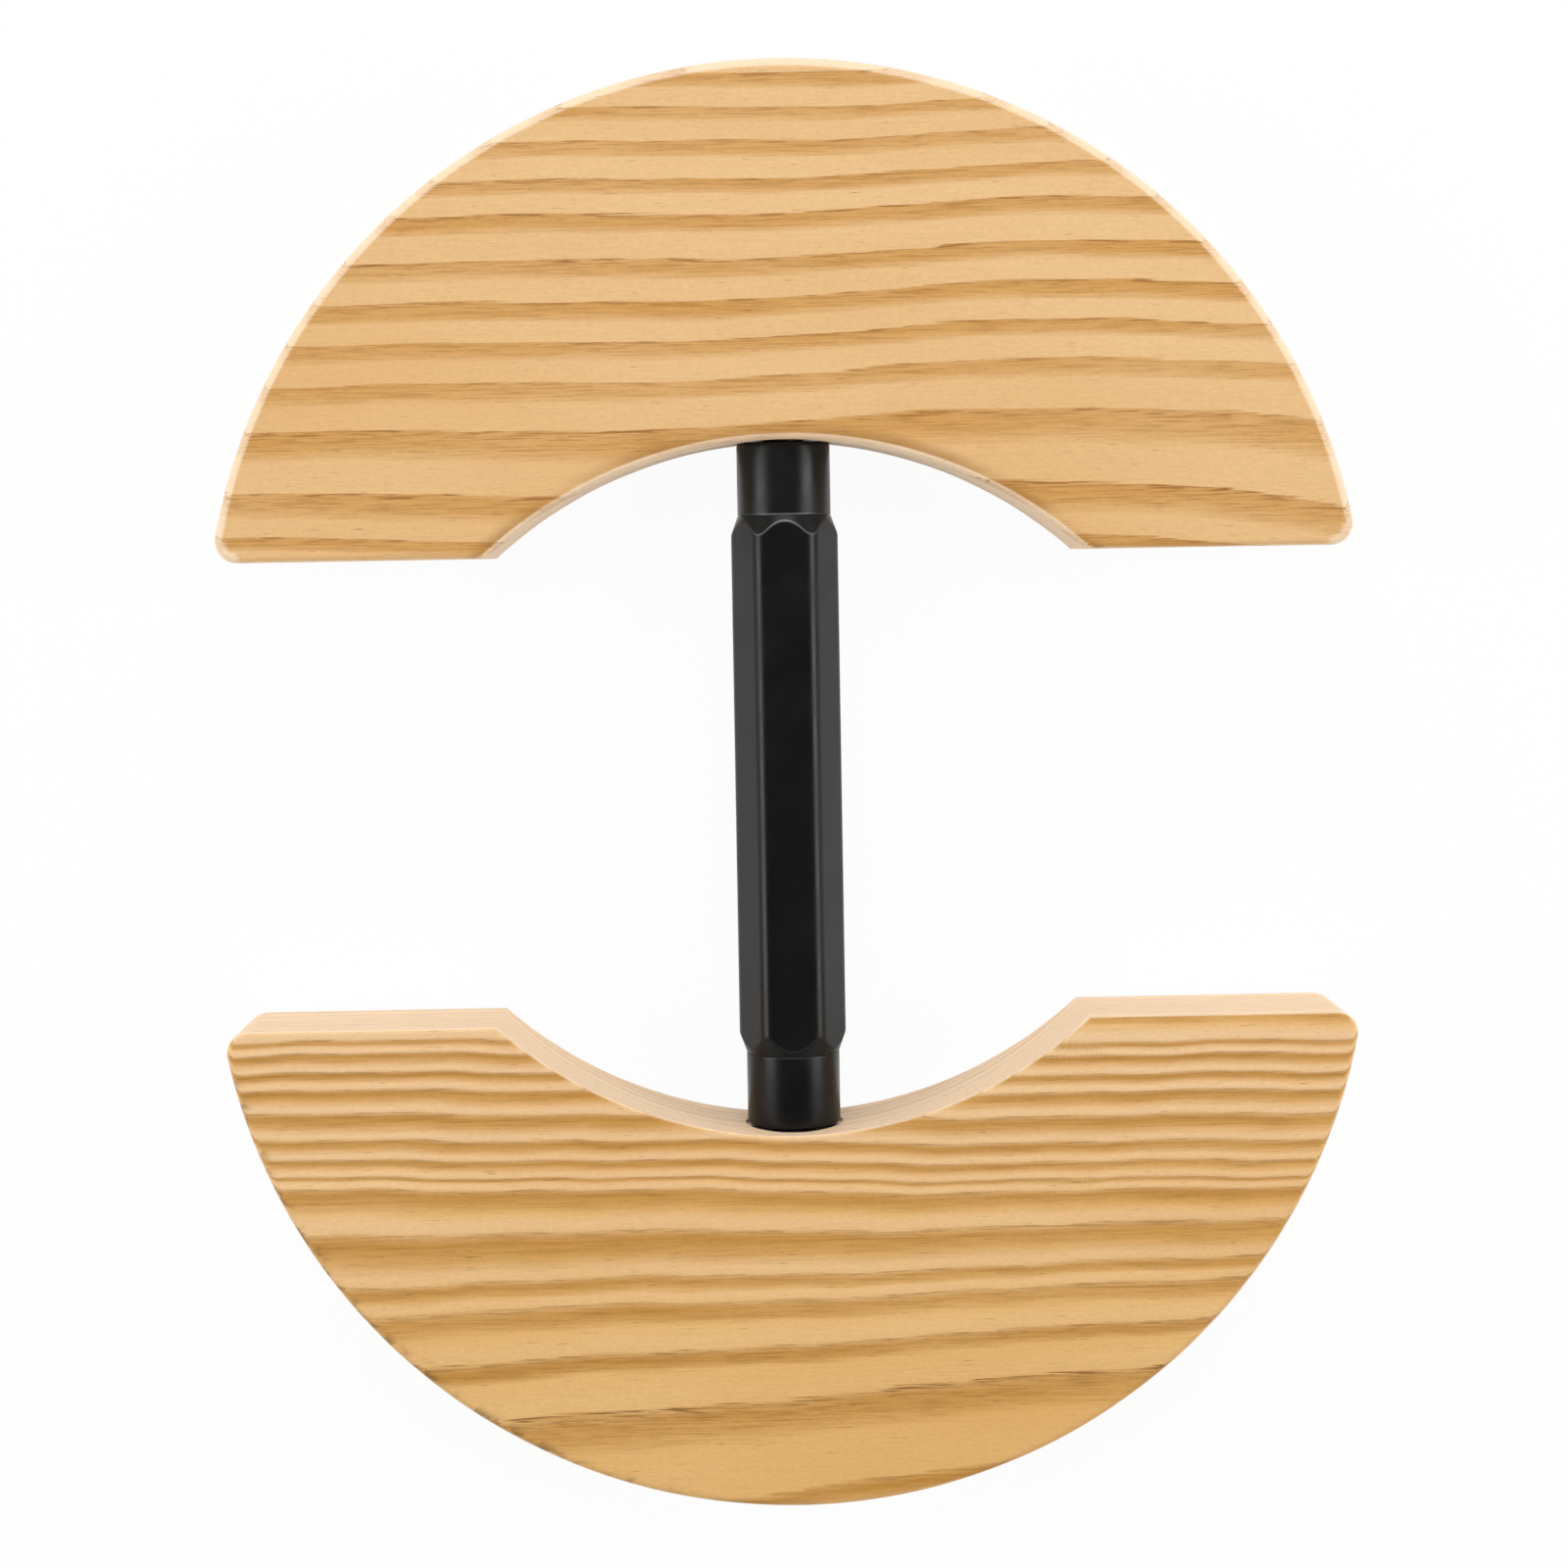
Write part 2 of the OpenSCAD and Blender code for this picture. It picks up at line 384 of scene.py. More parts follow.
    def make(self, word: str, rings: Sequence[Ring], shift: float) -> bpy.types.Material:
        """Builds the material, which reads the values that Half.mark stores.

        Args:
            word: The half's word in the name.
            rings: The board's growth rings.
            shift: Shift of the patterns, in their own lengths.

        Returns:
            The finished material.
        """
        material, tree = new_tree(f"brushed_pine_{word}")
        self.draw_patterns(tree, shift)
        grain = add(tree, "ShaderNodeMath", {0: "streak", 1: "fleck"}, operation="ADD")
        inputs = {"Height": grain, "Strength": self.bump, "Distance": self.fibre_depth * MM}
        inputs = {
            "Base Color": self.mix_colour(tree, rings),
            "Roughness": "gloss",
            "IOR": self.ior,
            "Specular IOR Level": self.shine,
            "Normal": add(tree, "ShaderNodeBump", inputs),
        }
        shader = add(tree, "ShaderNodeBsdfPrincipled", inputs)
        add(tree, "ShaderNodeOutputMaterial", {"Surface": shader})
        return material


@dataclass(frozen=True)
class TurnedMetal:
    """A metal finish with fine tool marks round the screw.

    The marks and a slight patchiness in the gloss break up long highlights.
    """

    name: str
    colour: str
    clouded: str
    metallic: float
    roughness: float
    shine: float = 0.5
    # Pale metal painted on as a highlight, shown where the piece stores a highlight share
    bare: str | None = None
    # Real tool marks are nearer 0.05 mm apart, and are drawn coarser so as to show
    mark_mm: float = 0.35
    mark_depth: float = 0.004
    bump: float = 0.5
    patch_mm: float = 6.0
    patch_detail: float = 4.0
    patch_gloss: float = 0.07

    def make(self, node: str) -> bpy.types.Material:
        """Builds the material for one piece.

        Args:
            node: CAD node that the piece stands for.

        Returns:
            The finished material.
        """
        material, tree = new_tree(f"{self.name}_{node}")
        place = add(tree, "ShaderNodeTexCoord").outputs["Object"]
        inputs = {"Vector": place, "Scale": per_mm(self.patch_mm)[0], "Detail": self.patch_detail}
        patch = add(tree, "ShaderNodeTexNoise", inputs)
        scale = per_mm(self.patch_mm, self.mark_mm, self.patch_mm)
        lines = add(tree, "ShaderNodeMapping", {"Vector": place, "Scale": scale})
        marks = add(tree, "ShaderNodeTexNoise", {"Vector": lines, "Scale": 1.0})
        inputs = {"Factor": patch, "A": linear(self.colour), "B": linear(self.clouded)}
        colour = add(tree, "ShaderNodeMix", inputs, data_type="RGBA")
        metallic: bpy.types.Node | float = self.metallic
        # Painted highlight: the colour turns pale and metallic where the piece stores a highlight share
        if self.bare:
            painted_highlight = add(tree, "ShaderNodeAttribute", attribute_name="painted_highlight").outputs["Fac"]
            inputs = {"Factor": painted_highlight, "A": colour, "B": linear(self.bare)}
            colour = add(tree, "ShaderNodeMix", inputs, data_type="RGBA")
            inputs = {"Value": painted_highlight, "To Min": self.metallic, "To Max": 1.0}
            metallic = add(tree, "ShaderNodeMapRange", inputs)
        terms = (patch, *NOISE_RANGE, self.roughness - self.patch_gloss, self.roughness + self.patch_gloss)
        gloss = add(tree, "ShaderNodeMapRange", dict(enumerate(terms)))
        inputs = {"Height": marks, "Strength": self.bump, "Distance": self.mark_depth * MM}
        inputs = {
            "Base Color": colour,
            "Roughness": gloss,
            "Metallic": metallic,
            "Specular IOR Level": self.shine,
            "Normal": add(tree, "ShaderNodeBump", inputs),
        }
        shader = add(tree, "ShaderNodeBsdfPrincipled", inputs)
        add(tree, "ShaderNodeOutputMaterial", {"Surface": shader})
        return material


# Black anodised aluminium: the dyed oxide is a dark skin that hides the metal, and its pores dull the shine
# Its pale colour is a painted highlight on the barrel's chamfer edges and the collars' lips
BLACK_ANODISED = TurnedMetal(
    "black_anodised_aluminium", "#0F0F0F", "#151515", metallic=0.0, roughness=0.31, shine=0.23, bare="#A8A9AC"
)
# Zinc-plated steel: bluish, bright, a little cloudy
ZINC_PLATED = TurnedMetal("zinc_plated_steel", "#B9BCC2", "#9DA0A6", metallic=1.0, roughness=0.34)
# Phosphated spring steel: charcoal, dull
PHOSPHATED = TurnedMetal("phosphated_steel", "#3A3A3C", "#2C2C2E", metallic=1.0, roughness=0.48)


@dataclass
class Grain:
    """Growth rings of one board.

    Rings are listed down the photograph, each from its crisp edge, and repeat past both ends.
    """

    rings: Sequence[Ring]
    first_edge: float
    # Lean of the rings across the face, which grows past a place down it, and their slope into the board
    lean: float
    lean_from: float
    lean_growth: float
    slope: float
    # Height of each wave in the rings, its length across, its length down and its start
    waves: Sequence[tuple[float, float, float, float]]
    # Depth of the brushed hollows by the flats and at the top of the rim
    relief_near: float
    relief_far: float
    # How strongly the rings bend down past a place to the right of the middle
    droop: float = 0.0
    droop_from: float = 20.0
    repeats: int = 4
    # Half the length over which a change of ring width is smoothed, and the samples taken on it
    smooth: float = 0.5
    samples: int = 5
    # Place of the brushed hollow's floor within a ring
    floor: float = 0.36

    def at(self, down: Array, across: Array, deep: Array) -> Array:
        """Finds the ring at points of the board.

        Args:
            down: Distance down the face, in millimetres.
            across: Distance to the right of the middle.
            deep: Depth below the front face.

        Returns:
            Ring number, whose fraction runs from the ring's crisp edge.
        """
        lean = self.lean + self.lean_growth * np.maximum(down - self.lean_from, 0)
        level = down + lean * across + self.slope * deep
        level = level - self.droop * np.maximum(across - self.droop_from, 0) ** 2
        for height, long, wide, phase in self.waves:
            level = level + height * np.sin(2 * pi * (across / long + (down + deep) / wide + phase))
        widths = [ring.width for ring in self.rings] * (2 * self.repeats + 1)
        start = self.first_edge - self.repeats * sum(ring.width for ring in self.rings)
        edges = start + np.concatenate([[0.0], np.cumsum(widths)])
        shifts = np.linspace(-self.smooth, self.smooth, self.samples)
        return np.mean([np.interp(level + shift, edges, np.arange(len(edges))) for shift in shifts], axis=0)

    def hollow(self, ring: Array) -> Array:
        """Gives how far the brushed surface lies below a ring's crest, from 0 to 1."""
        return 0.5 + 0.5 * np.cos(2 * pi * (ring - self.floor))


@dataclass
class Half:
    """A wooden half with its routed edges, brushed faces and bored seat.

    It is shaped on the +Y side, and the lower half is turned over from there.
    """

    side: Side
    grain: Grain
    finish: BrushedPine
    # Strength of the painted shade along the saddle's edge
    burnish: float
    chipped: float
    edge_depth: float
    edge_width: float
    # Share of the routed edge that is left along the flats and the saddle
    inner_share: float
    # Width of the cream sanded border along the rim, the saddle and the flats
    borders: tuple[float, float, float]
    rim_radius: float = 76.4
    saddle_radius: float = 58.5
    saddle_rise: float = 15.1
    corner_radius: float = 3.0
    wall_relief: float = 0.03
    # How far the painted shade reaches in past the saddle's sanded border
    burnish_reach: float = 1.9
    # How far chips reach in from the rim's edge, and how far past the corner and the middle they grow
    chip_reach: float = 2.0
    chip_past_corner: float = 6.0
    chip_past_middle: float = 38.2
    border_fade: float = 0.12
    # Cream on the ridges by the saddle: partly wood that the sander met, partly a painted highlight where the
    # crests catch the light
    crest_sanding_and_highlight: float = 0.0
    # Shift of the wood's patterns away from the other half's
    pattern_shift: float = 7.0
    # Radius and end of each step of the seat and hole bored along the screw
    bores: Pairs = ((6.55, 46.1), (6.02, 47.12), (5.23, 60.15), (3.15, 65.6))
    # Where the rim turns from the mesh's side to its top, from straight away from the barrel
    shoulder_deg: float = 45.0
    crease_deg: float = 32.0
    columns: int = 206
    rows: int = 184
    edge_steps: int = 8
    wall_steps: int = 12
    bore_sides: int = 96

    def __post_init__(self) -> None:
        """Takes the outline's places from the frame."""
        low, high = (Vector(corner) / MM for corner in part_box(self.node))
        self.thickness = high.z
        self.flat_y = min(abs(low.y), abs(high.y))
        self.rim_y = max(abs(low.y), abs(high.y)) - self.rim_radius
        self.saddle_y = self.flat_y + self.saddle_rise - self.saddle_radius
        self.corner_y = self.flat_y + self.corner_radius
        reach = self.rim_radius - self.corner_radius
        self.corner_x = sqrt(reach**2 - (self.corner_y - self.rim_y) ** 2)
        self.rim_turn = atan2(self.corner_x, self.corner_y - self.rim_y)

    @property
    def node(self) -> str:
        """Name of the CAD node that the half stands for."""
        return f"{self.side.word}_block"

    def inner_edge(self) -> tuple[Array, Array]:
        """Draws the flats and the saddle from left to right.

        Returns:
            Points, and the direction into the wood at each.
        """
        turn_end = acos((self.flat_y - self.saddle_y) / self.saddle_radius)
        arc = self.saddle_radius * 2 * turn_end
        start = self.saddle_radius * sin(turn_end)
        flat = self.corner_x - start
        on_flat = round(self.columns * flat / (arc + 2 * flat))
        turns = np.linspace(-turn_end, turn_end, self.columns - 2 * on_flat)
        saddle, out = self.arc((0.0, self.saddle_y), self.saddle_radius, turns)
        left_x = np.linspace(-self.corner_x, -start, on_flat, endpoint=False)
        left = np.stack([left_x, np.full(on_flat, self.flat_y)], axis=1)
        straight = np.tile([0.0, 1.0], (on_flat, 1))
        into = np.concatenate([straight, -out, straight])
        for corner in (on_flat, -on_flat - 1):
            into[corner] = (into[corner] + straight[0]) / (1 + into[corner] @ straight[0])
        return np.concatenate([left, saddle, left[::-1] * MIRROR]), into

    def arc(self, centre: tuple[float, float], radius: float, turns: Array) -> tuple[Array, Array]:
        """Draws an arc by angles from straight away from the barrel, with the direction into the wood."""
        out = np.stack([np.sin(turns), np.cos(turns)], axis=1)
        return np.array(centre) + radius * out, -out

    def outline(self) -> tuple[Array, Array, Array]:
        """Draws the closed outline: inner edge, right side, top of the rim, left side.

        Returns:
            Points in order, the direction into the wood and the share of the routed edge at each.
        """
        inner, inner_into = self.inner_edge()
        shoulder = radians(self.shoulder_deg)
        corner_end = self.corner_radius * (pi - self.rim_turn)
        side_end = corner_end + self.rim_radius * (self.rim_turn - shoulder)
        along = np.linspace(0, side_end, self.rows + 1)[1:-1]
        on_corner = pi - along[along < corner_end] / self.corner_radius
        on_rim = self.rim_turn - (along[along >= corner_end] - corner_end) / self.rim_radius
        corner, corner_into = self.arc((self.corner_x, self.corner_y), self.corner_radius, on_corner)
        flank, flank_into = self.arc((0.0, self.rim_y), self.rim_radius, on_rim)
        top_turns = np.linspace(shoulder, -shoulder, self.columns)
        top, top_into = self.arc((0.0, self.rim_y), self.rim_radius, top_turns)
        right = np.concatenate([corner, flank])
        right_into = np.concatenate([corner_into, flank_into])
        into = np.concatenate([inner_into, right_into, top_into, right_into[::-1] * MIRROR])
        growing = self.inner_share + (1 - self.inner_share) * np.minimum(along / corner_end, 1)
        share = [np.full(self.columns, self.inner_share), growing, np.ones(self.columns), growing[::-1]]
        return np.concatenate([inner, right, top, right[::-1] * MIRROR]), into, np.concatenate(share)

    def loop_numbers(self) -> Array:
        """Numbers the vertices on the rim of a face's grid, in the order of outline()."""
        grid = np.arange((self.rows + 1) * self.columns).reshape(self.rows + 1, self.columns)
        return np.concatenate([grid[0], grid[1:-1, -1], grid[-1, ::-1], grid[-2:0:-1, 0]])

    def face(self, loop: Array) -> Array:
        """Fills the outline of a face with a grid of points.

        Args:
            loop: The face's outline, in the order of outline().

        Returns:
            Points by row and column, in the plane.
        """
        grid = np.empty((self.rows + 1, self.columns, 2))
        grid.reshape(-1, 2)[self.loop_numbers()] = loop
        up = np.linspace(0, 1, self.rows + 1)[:, None, None]
        across = np.linspace(0, 1, self.columns)[None, :, None]
        lofted = grid[:1] * (1 - up) + grid[-1:] * up
        ends = grid[:, :1] * (1 - across) + grid[:, -1:] * across
        corners = lofted[:, :1] * (1 - across) + lofted[:, -1:] * across
        return lofted + ends - corners

    def solid(self) -> tuple[Array, Array, list[list[int]]]:
        """Builds the plain half.

        Returns:
            Points, outward directions and faces.
        """
        outline, into, share = self.outline()
        inward = self.edge_width * share[:, None] * into
        depth = self.edge_depth * share
        # Each level has its share of the inset, its height and its turn from straight up
        level = pi / 2
        routed = [
            (1 - sin(turn), self.thickness - depth * (1 - cos(turn)), turn)
            for turn in np.linspace(0, level, self.edge_steps)
        ]
        sunk = np.linspace(1, 0, self.wall_steps + 1)[1:-1]
        levels = routed + [(0.0, depth + height * (self.thickness - 2 * depth), level) for height in sunk]
        levels += [(inset, self.thickness - z, pi - turn) for inset, z, turn in reversed(routed)]

        top = self.face(outline + inward).reshape(-1, 2)
        count = len(top)
        up = np.tile([0.0, 0.0, 1.0], (count, 1))
        points = [np.column_stack([top, np.full(count, z)]) for z in (self.thickness, 0.0)]
        outward = [up, -up]
        numbers = self.loop_numbers()
        loops = [numbers]
        for inset, z, turn in levels[1:-1]:
            loops.append(len(loops[0]) * (len(loops) - 1) + 2 * count + np.arange(len(numbers)))
            points.append(np.column_stack([outline + inset * inward, z]))
            outward.append(np.column_stack([-into * sin(turn), np.full(len(outline), cos(turn))]))
        loops.append(numbers + count)

        grid = np.arange(count).reshape(self.rows + 1, self.columns)
        quads = np.stack([grid[:-1, :-1], grid[:-1, 1:], grid[1:, 1:], grid[1:, :-1]], axis=-1).reshape(-1, 4)
        faces = quads.tolist() + (quads[:, ::-1] + count).tolist()
        for upper, lower in zip(loops, loops[1:]):
            faces += strip_quads(lower, upper)
        return np.concatenate(points), np.concatenate(outward), faces

    def far_at(self, points: Array) -> Array:
        """Gives 0 at the flats and 1 at the top of the rim."""
        return smoothstep(self.flat_y, self.rim_y + self.rim_radius, points[:, 1])

    def rings_at(self, points: Array) -> Array:
        """Gives the ring numbers of Grain.at."""
        return self.grain.at(-self.side.value * points[:, 1], points[:, 0], self.thickness - points[:, 2])

    def wear_at(self, points: Array) -> dict[str, Array]:
        """Gives the sanding of borders, walls and bores, the painted shade by the saddle and the chips by the
        rim.

        Args:
            points: Points in millimetres.

        Returns:
            Shares of the sanding, the painted shade and the chipping at each point.
        """
        x, y, z = points.T
        right, up = np.abs(x) - self.corner_x, y - self.corner_y
        rim = self.rim_radius - np.hypot(x, y - self.rim_y)
        by_corner = (np.arctan2(right, up) > self.rim_turn) & (right > 0)
        rim = np.where(by_corner, self.corner_radius - np.hypot(right, up), rim)
        saddle = np.hypot(x, y - self.saddle_y) - self.saddle_radius
        below = np.minimum(z, self.thickness - z)
        sanded = smoothstep(self.edge_depth, self.edge_depth + self.border_fade, below)
        for inset, border in zip((rim, saddle, y - self.flat_y), self.borders):
            sanded = np.maximum(sanded, 1 - smoothstep(border, border + self.border_fade, inset))
        # Painted shade on the face just past the saddle's sanded border, fading over its reach
        away = saddle - self.borders[1]
        burnish = self.burnish * (1 - smoothstep(0, self.burnish_reach, away)) * (away > 0)
        by_rim = 1 - smoothstep(0, self.chip_reach, rim)
        by_face = 1 - smoothstep(0, self.chip_reach, below)
        past_corner = smoothstep(0, self.chip_past_corner, up)
        on_left = smoothstep(0, self.chip_past_middle, -x)
        chipped = self.chipped * by_rim * by_face * past_corner * on_left
        return {"sanded": sanded, "burnish": burnish, "chipped": chipped}

    def cutter(self) -> Piece:
        """Builds the stepped body that bores the seat and the stud's hole.

        Returns:
            A scratch object that a Boolean takes away.
        """
        starts = [self.flat_y] + [end for _, end in self.bores]
        steps = [(radius, y) for (radius, end), start in zip(self.bores, starts) for y in (start, end)]
        turns = full_turn(self.bore_sides)
        points = np.concatenate([around_screw(self.side.value * y, radius, turns) for radius, y in steps])
        rings = np.arange(len(points)).reshape(len(steps), -1)
        return new_piece("bore_cutter", points, tube_faces(rings, self.side))

    def bore(self, piece: Piece) -> None:
        """Cuts the seat and the hole out of the half's mesh.

        Args:
            piece: The half, whose mesh is replaced by the bored one.
        """
        cutter = self.cutter()
        boring = piece.modifiers.new("bore", "BOOLEAN")
        boring.operation = "DIFFERENCE"
        boring.solver = "EXACT"
        boring.object = cutter
        bored = bpy.data.meshes.new_from_object(piece.evaluated_get(bpy.context.evaluated_depsgraph_get()))
        piece.modifiers.clear()
        solid, piece.data = piece.data, bored
        bpy.data.meshes.remove(solid)
        bpy.data.objects.remove(cutter)
        bored.name = piece.name

    def mark(self, piece: Piece) -> None:
        """Stores on the mesh the values that the wood's material reads.

        Args:
            piece: The half's object.
        """
        mesh = piece.data
        points = np.empty(len(mesh.vertices) * 3, np.float32)
        mesh.vertices.foreach_get("co", points)
        points = points.reshape(-1, 3) / MM * [1, self.side.value, 1]
        ring = self.rings_at(points)
        crest = (1 - self.grain.hollow(ring)) ** 2 * (1 - self.far_at(points))
        values = {"ring": ring, **self.wear_at(points)}
        # The crests by the saddle take cream: partly sanding, partly painted highlight
        values["sanded"] = np.maximum(values["sanded"], self.crest_sanding_and_highlight * crest)
        for name, value in values.items():
            store(mesh, name, value)
        shade(mesh, self.crease_deg)

    def build(self) -> Piece:
        """Builds the half with its brushed relief and its bored seat.

        Returns:
            The half's object, in place.
        """
        points, outward, faces = self.solid()
        sanded = self.wear_at(points)["sanded"]
        near, far = self.grain.relief_near, self.grain.relief_far
        depth = (near + (far - near) * self.far_at(points)) * (1 - sanded) + self.wall_relief * sanded
        points = points - outward * (depth * self.grain.hollow(self.rings_at(points)))[:, None]
        if self.side is Side.LOWER:
            points = points * [1, -1, 1]
            faces = [face[::-1] for face in faces]
        piece = new_piece(f"{self.node}_pine", points, faces, self.crease_deg)
        self.bore(piece)
        self.mark(piece)
        return piece

    def dress(self, piece: Piece) -> None:
        """Gives the half its wood and ties it to the frame."""
        wood = self.finish.make(self.side.word, self.grain.rings, self.pattern_shift * self.side.value)
        tie(piece, wood, self.node, f"{self.side.word}_half")


@dataclass
class Turnbuckle:
    """The black hexagon barrel and its two swivel collars."""

    across_flats: float = 13.0
    corner_round: float = 2.2
    hex_end: float = 36.0
    chamfer: float = 2.5
    # Length before the chamfer that shares its fine rows
    fine_run: float = 1.0
    edge_soft: float = 0.035
    neck_radius: float = 5.0
    groove_radius: float = 4.7
    groove: tuple[float, float] = (43.975, 44.925)
    neck_end: float = 45.4
    neck_edge: float = 0.3
    bore_radius: float = 3.07
    collar_start: float = 36.05
    collar_end: float = 45.8
    collar_radius: float = 6.25
    collar_bore: float = 5.05
    collar_round: float = 0.6
    collar_lip: float = 0.15
    # Where the painted highlight on a collar's lip has faded out
    lip_fade: float = 0.3
    recess_radius: float = 5.7
    recess_depth: float = 2.0
    crease_deg: float = 40.0
    sides: int = 288
    chamfer_rows: int = 44
    middle_rows: int = 20
    round_steps: int = 6
    # How far the painted highlight reaches from the chamfer's edges, how strongly on each end, and how close
    # to the top
    rub_width: float = 0.04
    rub: dict[Side, float] = field(default_factory=lambda: {Side.UPPER: 0.6, Side.LOWER: 0.06})
    rub_power: int = 6

    def hexagon(self, turns: Array) -> Array:
        """Gives the hexagon's radius with rounded corners.

        Args:
            turns: Angles round the axis from the middle of the top flat.

        Returns:
            Distance from the axis at each angle.
        """
        flat = self.across_flats / 2
        to_corner = pi / 6
        off_flat = np.abs((turns + to_corner) % (2 * to_corner) - to_corner)
        off_corner = to_corner - off_flat
        centre = (flat - self.corner_round) / cos(to_corner)
        on_round = self.corner_round**2 - (centre * np.sin(off_corner)) ** 2
        rounded = centre * np.cos(off_corner) + np.sqrt(np.maximum(on_round, 0))
        across = self.corner_round * sin(to_corner)
        along = centre + self.corner_round * cos(to_corner)
        round_from = to_corner - atan2(across, along)
        return np.where(off_flat > round_from, rounded, flat / np.cos(off_flat))

    def painted_highlight_at(self, turns: Array, side: Side) -> Array:
        """Gives the painted highlight round one end, strongest on top."""
        return self.rub[side] * np.maximum(np.cos(turns), 0) ** self.rub_power

    def barrel_rows(self) -> list[Row]:
        """Lists the barrel's outline rows from the bore at the lower end to the bore at the upper end.

        Returns:
            The rows in order.
        """
        turns = full_turn(self.sides)
        hexagon = self.hexagon(turns)
        unhighlighted = np.zeros(self.sides)
        face = self.hex_end - self.chamfer
        fine = face - self.fine_run
        corner = hexagon.max()
        drop = (corner - self.collar_radius) / self.chamfer
        rows = [(y, hexagon, unhighlighted) for y in np.linspace(0, fine, self.middle_rows)[1:]]
        for y in np.linspace(fine, self.hex_end, self.chamfer_rows)[1:]:
            cone = corner - drop * (y - face)
            radius = -self.edge_soft * np.logaddexp(-hexagon / self.edge_soft, -cone / self.edge_soft)
            # The painted highlight follows the line where the chamfer meets the flats
            rows.append((y, radius, np.exp(-(((hexagon - cone) / self.rub_width) ** 2))))
        start, end = self.groove
        neck, tip, slant = self.neck_radius, self.neck_end, self.neck_edge
        for y, radius in (
            (self.hex_end, neck),
            (start, neck),
            (start, self.groove_radius),
            (end, self.groove_radius),
            (end, neck),
            (tip - slant, neck),
            (tip, neck - slant),
            (tip, self.bore_radius + slant),
            (tip - slant, self.bore_radius),
        ):
            rows.append((y, radius, unhighlighted))
        upper = [(y, radius, edge * self.painted_highlight_at(turns, Side.UPPER)) for y, radius, edge in rows]
        lower = [(-y, radius, edge * self.painted_highlight_at(turns, Side.LOWER)) for y, radius, edge in rows]
        return lower[::-1] + [(0.0, hexagon, unhighlighted)] + upper

    def collar_rows(self, side: Side) -> list[Row]:
        """Lists a collar's outline rows: its lip, its rounded outer end and the recess for its ring.

        Args:
            side: End of the barrel that the collar sits on.

        Returns:
            The rows in order.
        """
        turns = np.linspace(0, pi / 2, self.round_steps)
        start, end, outer = self.collar_start, self.collar_end, self.collar_radius
        lip, edge = self.collar_lip, self.collar_round
        floor = end - self.recess_depth
        profile = [(start, self.collar_bore, 0.0)]
        # The lip's rounded rows carry the full painted highlight
        profile += [(start + lip * (1 - cos(t)), outer - lip * (1 - sin(t)), 1.0) for t in turns]
        profile += [(start + self.lip_fade, outer, 0.0)]
        profile += [(end - edge * (1 - sin(t)), outer - edge * (1 - cos(t)), 0.0) for t in turns]
        profile += [(y, self.recess_radius, 0.0) for y in (end, floor)]
        profile += [(floor, self.collar_bore, 0.0)]
        if side is Side.LOWER:
            profile.reverse()
        painted_highlight = self.painted_highlight_at(full_turn(self.sides), side)
        return [(side.value * y, radius, edge * painted_highlight) for y, radius, edge in profile]

    def build(self, name: str, rows: Sequence[Row]) -> Piece:
        """Builds a piece as one closed skin of rows round the screw, bore included.

        Args:
            name: Name of the piece.
            rows: Its rows in order.

        Returns:
            The piece's object, in place.
        """
        turns = full_turn(self.sides)
        points = np.concatenate([around_screw(y, radius, turns) for y, radius, _ in rows])
        rings = np.arange(len(points)).reshape(len(rows), -1)
        faces = [face for pair in zip(rings, np.roll(rings, -1, axis=0)) for face in strip_quads(*pair)]
        piece = new_piece(name, points, faces, self.crease_deg)
        # Stores each vertex's share of the painted highlight for the material
        store(piece.data, "painted_highlight", np.concatenate([painted_highlight for _, _, painted_highlight in rows]))
        return piece

    def dress(self, piece: Piece, node: str, body: str, slot: str) -> None:
        """Gives a black piece its finish and ties it to the frame."""
        tie(piece, BLACK_ANODISED.make(node), node, body)


@dataclass
class Stud:
    """A threaded stud that stands out of a half into the barrel."""

    side: Side
    hand: Hand
    major_radius: float = 3.0
    pitch: float = 1.0
    thread_depth: float = 0.58
    # Where a flank leaves the crest and meets the root, from 0 at the crest to 1 at the root
    flank: tuple[float, float] = (0.08, 0.92)
    start: float = 1.5
    end: float = 64.1
    chamfer: float = 0.7
    crease_deg: float = 70.0
    sides: int = 48
    steps: int = 12

    @property
    def node(self) -> str:
        """Name of the CAD node that the stud stands for."""
        return f"{self.side.word}_stud"

    def build(self) -> Piece:
        """Builds the stud with its rolled thread.

        Returns:
            The stud's object, in place.
        """
        turns = full_turn(self.sides)
        rows = round((self.end - self.start) / self.pitch * self.steps) + 1
        along = np.linspace(self.start, self.end, rows)[:, None]
        wound = along / self.pitch - self.hand.value * self.side.value * turns / (2 * pi)
        share = np.abs(wound % 1 - 0.5) * 2
        thread = self.major_radius - self.thread_depth * smoothstep(*self.flank, share)
        taper = np.minimum(along - self.start, self.end - along) - self.chamfer
        radius = np.minimum(thread, self.major_radius + np.minimum(taper, 0))
        points = around_screw(self.side.value * along, radius, turns).reshape(-1, 3)
        rings = np.arange(len(points)).reshape(rows, -1)
        return new_piece(f"{self.node}_threaded", points, tube_faces(rings, self.side), self.crease_deg)

    def dress(self, piece: Piece) -> None:
        """Gives the stud its plating and ties it to the frame."""
        tie(piece, ZINC_PLATED.make(self.node), self.node, f"{self.side.word}_half")


